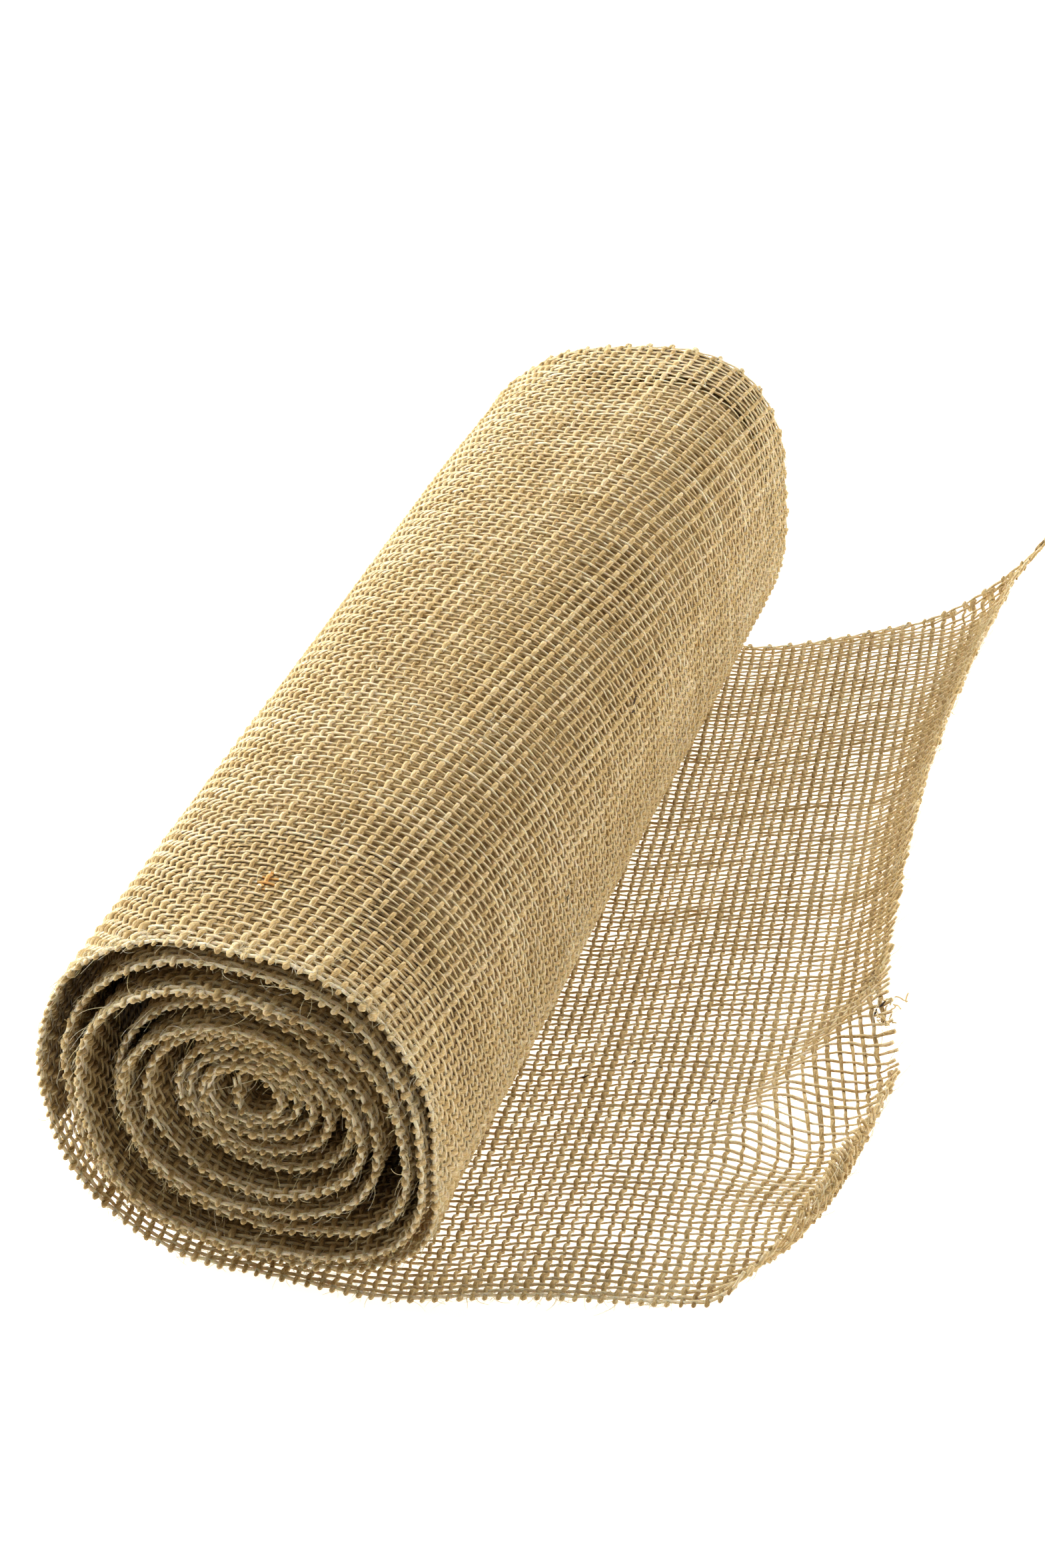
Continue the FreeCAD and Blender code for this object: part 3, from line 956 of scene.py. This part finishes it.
def cloth_material():
    """The same weave drawn on a surface: the fibre attribute holds pick and end numbers. Its colour is
    painted shade, darker than the yarns overall and darkest between the drawn yarns, for the hollows of the
    weave and the dark inside the roll.
    """
    n = Nodes("jute_cloth")
    split = n.add("SeparateXYZ", {"Vector": n.attribute("fibre", "Vector")}).outputs
    pick = n.maths("COSINE", n.maths("MULTIPLY", split[0], 2 * pi))
    end = n.maths("COSINE", n.maths("MULTIPLY", split[1], 2 * pi))
    over = n.maths("COSINE", n.maths("MULTIPLY", n.maths("ADD", split[0], split[1]), pi))
    weft = n.maths("MULTIPLY_ADD", over, 0.35, pick)
    warp = n.maths("MULTIPLY_ADD", over, -0.3, n.maths("SUBTRACT", end, 0.45))
    height = n.maths("MAXIMUM", weft, warp)
    streaks = n.noise(n.attribute("fibre", "Vector"), 2.5, 4.0, 0.7)
    value = n.maths("MULTIPLY_ADD", streaks, 0.5, n.maths("MULTIPLY_ADD", height, 0.22, 0.2))
    value = n.maths("MULTIPLY_ADD", n.attribute("tone", "Fac"), TONE_SHARE, value)
    # Painted shade: darkest where the drawn weave is low, between its yarns.
    colour = n.ramp(value, [(0.12, GAP_SHADE_JUTE), (0.85, JUTE), (0.45, DARK_JUTE)])
    return n.finish(colour, 0.92, height, depth=0.0006, strength=0.8, sheen=0.1)


def bark_material():
    """Dark scraps of bark."""
    n = Nodes("bark")
    grain = n.noise(n.attribute("fibre", "Vector"), 6.0)
    colour = n.ramp(grain, [(0.3, BARK_BLACK), (0.75, BARK_BROWN)])
    return n.finish(colour, 0.75, grain)


# ------ meshes

def cut_pieces(yarns):
    """One smooth mesh object for each piece, from all that belongs to it."""
    points, fibre, tone = [np.concatenate(part) for part in (yarns.points, yarns.fibre, yarns.tone)]
    materials = {"yarn": yarn_material(), "cloth": cloth_material(), "bark": bark_material()}
    groups = [
        (kind, np.concatenate([f for f, _ in parts]), np.concatenate([p for _, p in parts]))
        for (kind, _), parts in yarns.faces.items()
    ]
    made = {}
    for name, number in NUMBER.items():
        chosen = [(kind, faces[piece == number]) for kind, faces, piece in groups]
        chosen = [(kind, faces) for kind, faces in chosen if len(faces)]
        used, corners = np.unique(np.concatenate([f.ravel() for _, f in chosen]), return_inverse=True)
        sizes = np.concatenate([np.full(len(f), f.shape[1]) for _, f in chosen])
        mesh = bpy.data.meshes.new(name)
        mesh.vertices.add(len(used))
        mesh.vertices.foreach_set("co", (points[used] * MM).astype(np.float32).ravel())
        mesh.loops.add(len(corners))
        mesh.loops.foreach_set("vertex_index", corners.astype(np.int32).ravel())
        mesh.polygons.add(len(sizes))
        mesh.polygons.foreach_set("loop_start", np.concatenate([[0], np.cumsum(sizes)[:-1]]).astype(np.int32))
        kinds = sorted({kind for kind, _ in chosen}, reverse=True)
        for kind in kinds:
            mesh.materials.append(materials[kind])
        index = np.concatenate([np.full(len(f), kinds.index(kind)) for kind, f in chosen])
        mesh.update(calc_edges=True)
        mesh.polygons.foreach_set("material_index", index.astype(np.int32))
        mesh.shade_smooth()
        tones = mesh.attributes.new("tone", "FLOAT", "POINT")
        tones.data.foreach_set("value", tone[used].astype(np.float32))
        lay = mesh.attributes.new("fibre", "FLOAT_VECTOR", "POINT")
        lay.data.foreach_set("vector", fibre[used].astype(np.float32).ravel())
        made[name] = bpy.data.objects.new(name, mesh)
        bpy.context.scene.collection.objects.link(made[name])
    return made


# ------ bodies

# The side of the squares that the flat areas are counted in.
SQUARE = 0.5
COILS = {"outer_coil": (2, 3), "middle_coil": (4, 5), "inner_coil": (6, 7, 8), "core_coil": (9, 10)}
BODY_OF_TURN = {turn: body for body, turns in COILS.items() for turn in turns}


def strips(node):
    """A CAD stretch of the ribbon and its two woven edges."""
    return [node, f"{node}_front_selvedge", f"{node}_back_selvedge"]


def place_at(along):
    """A point of the ribbon's middle, in metres."""
    return surface(np.array([along]), np.array([0.0]))[0] * MM


def at_turn(turn):
    """How far along the ribbon that many turns have been wound."""
    return -float(np.interp(turn, np.arange(TURNS + 1), TURN_DEPTH))


def cross_over(piece, start_along, turn):
    """The piece where the end of a coil group runs into the next one over the last part of a turn. Its
    transform is baked in, and the two places worked out on the ribbon are not used.
    """
    place_at(start_along - 1)
    place_at(at_turn(turn) + 1)
    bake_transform(piece)


def bend_at(piece):
    """Bakes a piece's transform into its mesh."""
    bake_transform(piece)


def count_squares():
    """The piece of each small square of the ribbon inside its cut edge, -1 outside, and the places."""
    along = np.arange(RIBBON_START, LAST_PICK_AT, SQUARE) + SQUARE / 2
    across = np.arange(-EDGE, EDGE, SQUARE) + SQUARE / 2
    along, across = np.meshgrid(along, across)
    piece = piece_at(along, across)
    piece[along > cut_along(across)] = -1
    return piece, along, across


def declare(pieces):
    """Hides what each piece replaces and attaches most pieces to the body they move with. The small squares
    of the ribbon are counted, but nothing uses the count.
    """
    for part in TURN_1_PARTS:
        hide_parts(*strips("turn_01"))
        if part != "crossover":
            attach(pieces[f"turn_01_{part}"], "outer_wrap")
    cross_over(pieces["turn_01_crossover"], -TURN_1_PARTS["crossover"], 1)
    for turn, body in BODY_OF_TURN.items():
        node = f"turn_{turn:02d}"
        cloth = pieces[f"{node}_cloth"]
        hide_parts(*strips(node))
        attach(cloth, body)
        if turn in CROSSOVER_TURNS:
            piece = pieces[f"{node}_crossover"]
            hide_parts(*strips(node))
            cross_over(piece, at_turn(turn - 1 + CROSSOVER_START), turn)
    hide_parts(*strips("start_flap"))
    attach(pieces["start_flap_cloth"], "core_coil")
    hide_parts(*strips("tail_root"), *strips("tail_rise"))
    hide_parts(*strips("tail_rise"), *strips("tail_run"))
    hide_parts(*strips("tail_run"), *strips("tail_end"), "cut_end_fringe")
    bend_at(pieces["tail_foot"])
    bend_at(pieces["tail_middle"])
    bend_at(pieces["tail_outer"])
    for corner, fold in (("near_corner", NEAR_FOLD), ("far_corner", FAR_FOLD)):
        cloth = pieces[f"{corner}_cloth"]
        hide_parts(corner)
        bend_at(cloth)
    squares, along, across = count_squares()


# ------ camera, light and floor

# The camera's angles are in radians: from the +Y direction, down, and about its own line of sight.
CAMERA_PLACE = (0.2542, -0.6049, 0.4906)
CAMERA_YAW = -0.37465
CAMERA_PITCH = 0.60118
CAMERA_ROLL = -0.06590
CAMERA_LENS = 67.93
CAMERA_SENSOR = 36.0

# The soft lights: name, place, size in metres, power in watts and colour.
LIGHTS = [
    ("key", (-1.12, 0.1, 0.92), 1.0, 46, (0.94, 0.97, 1)),
    ("fill", (1.1, 0.35, 0.45), 0.7, 9, (1, 0.97, 0.92)),
    ("back", (0.55, 0.75, 1.2), 1.0, 10, (1, 0.99, 0.96)),
]
FLOOR_HALF = 60.0
FLOOR_RIM = 1.6
FLOOR_GAP = 0.0002
TABLE_GREY = (0.35, 0.35, 0.35, 1)
TABLE_GLOW_COLOUR = (1, 0.93, 0.8, 1)
TABLE_GLOW = 1.12
ROOM_COLOUR = (1, 0.975, 0.89, 1)
ROOM_LIGHT = 0.21


def add_camera():
    """The camera, from its place, its three angles and its lens."""
    data = bpy.data.cameras.new("camera")
    data.sensor_width = CAMERA_SENSOR
    data.lens = CAMERA_LENS
    camera = bpy.data.objects.new("camera", data)
    bpy.context.scene.collection.objects.link(camera)
    level_ahead = np.array([sin(CAMERA_YAW), cos(CAMERA_YAW), 0])
    ahead = level_ahead * cos(CAMERA_PITCH) - np.array([0, 0, sin(CAMERA_PITCH)])
    level = np.array([cos(CAMERA_YAW), -sin(CAMERA_YAW), 0])
    up = np.cross(level, ahead)
    right = level * cos(CAMERA_ROLL) + up * sin(CAMERA_ROLL)
    top = up * cos(CAMERA_ROLL) - level * sin(CAMERA_ROLL)
    turn = Matrix(np.stack([right, top, -ahead], 1).tolist()).to_4x4()
    camera.matrix_world = Matrix.Translation(CAMERA_PLACE) @ turn
    bpy.context.scene.camera = camera


def add_area_light(name, place, size, watts, colour):
    """A square soft light that faces the roll."""
    data = bpy.data.lights.new(name, "AREA")
    data.size = size
    data.energy = watts
    data.color = colour
    lamp = bpy.data.objects.new(name, data)
    bpy.context.scene.collection.objects.link(lamp)
    lamp.location = place
    lamp.rotation_euler = Vector(place).to_track_quat("Z", "Y").to_euler()


def add_stage(height):
    """A wide pale table that glows softly, with a low rim far out, in an evenly lit room."""
    mesh = bpy.data.meshes.new("floor")
    corners = [(x * FLOOR_HALF, y * FLOOR_HALF) for x, y in ((-1, -1), (1, -1), (1, 1), (-1, 1))]
    vertices = [(x, y, z) for z in (0, FLOOR_RIM) for x, y in corners]
    sides = [(i, i + 4, (i + 1) % 4 + 4, (i + 1) % 4) for i in range(4)]
    mesh.from_pydata(vertices, [], [(0, 1, 2, 3), *sides])
    floor = bpy.data.objects.new("floor", mesh)
    bpy.context.scene.collection.objects.link(floor)
    floor.location.z = height
    n = Nodes("table_white")
    n.shader.inputs["Emission Color"].default_value = TABLE_GLOW_COLOUR
    n.shader.inputs["Emission Strength"].default_value = TABLE_GLOW
    mesh.materials.append(n.finish(TABLE_GREY, 0.9))
    world = bpy.data.worlds.new("studio")
    world.use_nodes = True
    background = world.node_tree.nodes["Background"]
    background.inputs["Color"].default_value = ROOM_COLOUR
    background.inputs["Strength"].default_value = ROOM_LIGHT
    bpy.context.scene.world = world
    bpy.context.scene.view_settings.view_transform = "Standard"


yarns = Yarns()
weave(yarns)
inner_sheet(yarns)
add_loose_fibres(yarns)
snarl(yarns)
bark_bits(yarns)
pieces = cut_pieces(yarns)
declare(pieces)

add_camera()
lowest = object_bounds()[0].z
add_stage(lowest - FLOOR_GAP)
for light in LIGHTS:
    add_area_light(*light)
